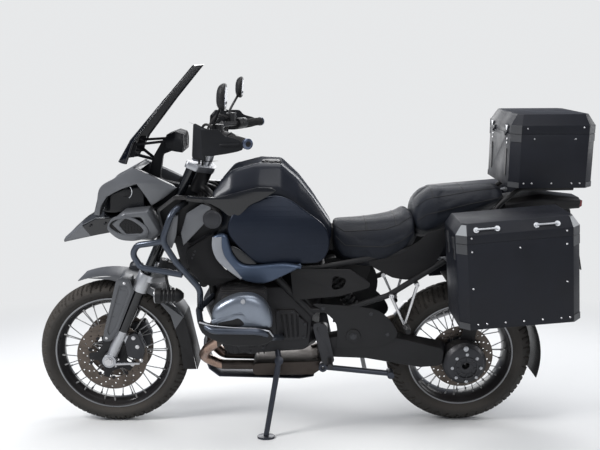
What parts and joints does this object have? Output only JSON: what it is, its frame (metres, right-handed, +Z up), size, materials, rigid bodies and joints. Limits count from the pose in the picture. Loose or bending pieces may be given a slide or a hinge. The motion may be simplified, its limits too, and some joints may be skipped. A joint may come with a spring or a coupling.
{
  "type": "adventure motorcycle",
  "caption": "Shaft-driven adventure motorcycle leaning on its side stand, with luggage cases, crash bars and opening lids.",
  "frame": {"origin": "middle of the footprint, on the floor", "axes": "+X forward, +Y to the rider's left, +Z up; the machine leans to +Y on its side stand"},
  "size_m": [2.3212, 1.0446, 1.558],
  "materials": {
    "tyre_rubber": "matte",
    "black_rim": "satin",
    "disc_steel": "brushed",
    "black_metal": "satin",
    "cast_grey": "satin",
    "cover_grey": "satin",
    "header_steel": "satin",
    "silencer_steel": "brushed",
    "tank_black": "gloss",
    "panel_black": "matte",
    "shroud_grey": "satin",
    "lamp_clear": "gloss",
    "smoked_screen": "gloss",
    "guard_steel": "satin",
    "seat_cover": "matte",
    "case_black": "satin",
    "stand_steel": "satin"
  },
  "bodies": {
    "chassis": {"engine_block": "cast_grey", "cylinders": "cast_grey", "head_covers": "cover_grey", "dampers": "black_metal", "under_seat_covers": "panel_black", "fog_lamps": "black_metal", "exhaust_pipes": "header_steel", "silencer": "silencer_steel", "frame_tubes": "black_metal", "leading_arm": "black_metal", "swing_arm": "black_metal", "final_drive": "black_metal", "fuel_tank": "tank_black", "side_panels": "panel_black", "engine_guards": "guard_steel", "tank_guards": "guard_steel", "tank_shrouds": "shroud_grey", "lower_wings": "shroud_grey", "radiators": "cast_grey", "beak": "shroud_grey", "intake_scoops": "shroud_grey", "headlight": "lamp_clear", "headlight_cowl": "shroud_grey", "windscreen": "smoked_screen", "instrument_panel": "panel_black", "skid_plate": "cast_grey", "rider_seat": "seat_cover", "pillion_seat": "seat_cover", "rear_carrier": "panel_black", "tail_unit": "panel_black", "rear_hugger": "panel_black", "footpegs": "black_metal", "pannier_racks": "guard_steel", "left_pannier": "case_black", "right_pannier": "case_black", "top_case": "case_black", "stand_bracket": "stand_steel"},
    "steering": {"fork_legs": "black_metal", "fork_bridge": "cast_grey", "top_yoke": "cast_grey", "handlebar": "black_metal", "hand_guards": "panel_black", "mirrors": "panel_black", "front_fender": "panel_black"},
    "front_wheel": {"front_tyre": "tyre_rubber", "front_rim_and_spokes": "black_rim", "front_discs": "disc_steel"},
    "rear_wheel": {"rear_tyre": "tyre_rubber", "rear_rim_and_spokes": "black_rim", "rear_disc": "disc_steel"},
    "side_stand": {"side_stand": "stand_steel"},
    "centre_stand": {"centre_stand": "stand_steel"},
    "left_lid": {"left_pannier_lid": "case_black"},
    "right_lid": {"right_pannier_lid": "case_black"},
    "top_lid": {"top_case_lid": "case_black"}
  },
  "joints": [
    {"name": "steering", "type": "hinge", "parent": "chassis", "child": "steering", "pos_m": [0.41733, -0.00652, 1.10386], "axis": [-0.4147, 0.1736, 0.8932], "range_deg": [-36, 36]},
    {"name": "front_wheel_spin", "type": "hinge", "parent": "steering", "child": "front_wheel", "pos_m": [0.83642, -0.15879, 0.32046], "axis": [0, 0.9816, -0.1908], "continuous": true},
    {"name": "rear_wheel_spin", "type": "hinge", "parent": "chassis", "child": "rear_wheel", "pos_m": [-0.67358, -0.16011, 0.31371], "axis": [0, 0.9816, -0.1908], "continuous": true},
    {"name": "side_stand_fold", "type": "hinge", "parent": "chassis", "child": "side_stand", "pos_m": [0.11142, 0.01339, 0.30486], "axis": [0.001, 0.9758, 0.2189], "range_deg": [0, 90]},
    {"name": "centre_stand_fold", "type": "hinge", "parent": "chassis", "child": "centre_stand", "pos_m": [-0.07358, -0.16384, 0.29449], "axis": [0, -0.9816, 0.1908], "range_deg": [0, 84]},
    {"name": "left_lid_open", "type": "hinge", "parent": "chassis", "child": "left_lid", "pos_m": [-1.00676, 0.18904, 0.89406], "axis": [0, -0.9816, 0.1908], "range_deg": [0, 95]},
    {"name": "right_lid_open", "type": "hinge", "parent": "chassis", "child": "right_lid", "pos_m": [-1.00676, -0.26643, 0.98259], "axis": [0, -0.9816, 0.1908], "range_deg": [0, 95]},
    {"name": "top_lid_open", "type": "hinge", "parent": "chassis", "child": "top_lid", "pos_m": [-0.80658, 0.02508, 1.26645], "axis": [0, 0.9816, -0.1908], "range_deg": [0, 85]}
  ]
}
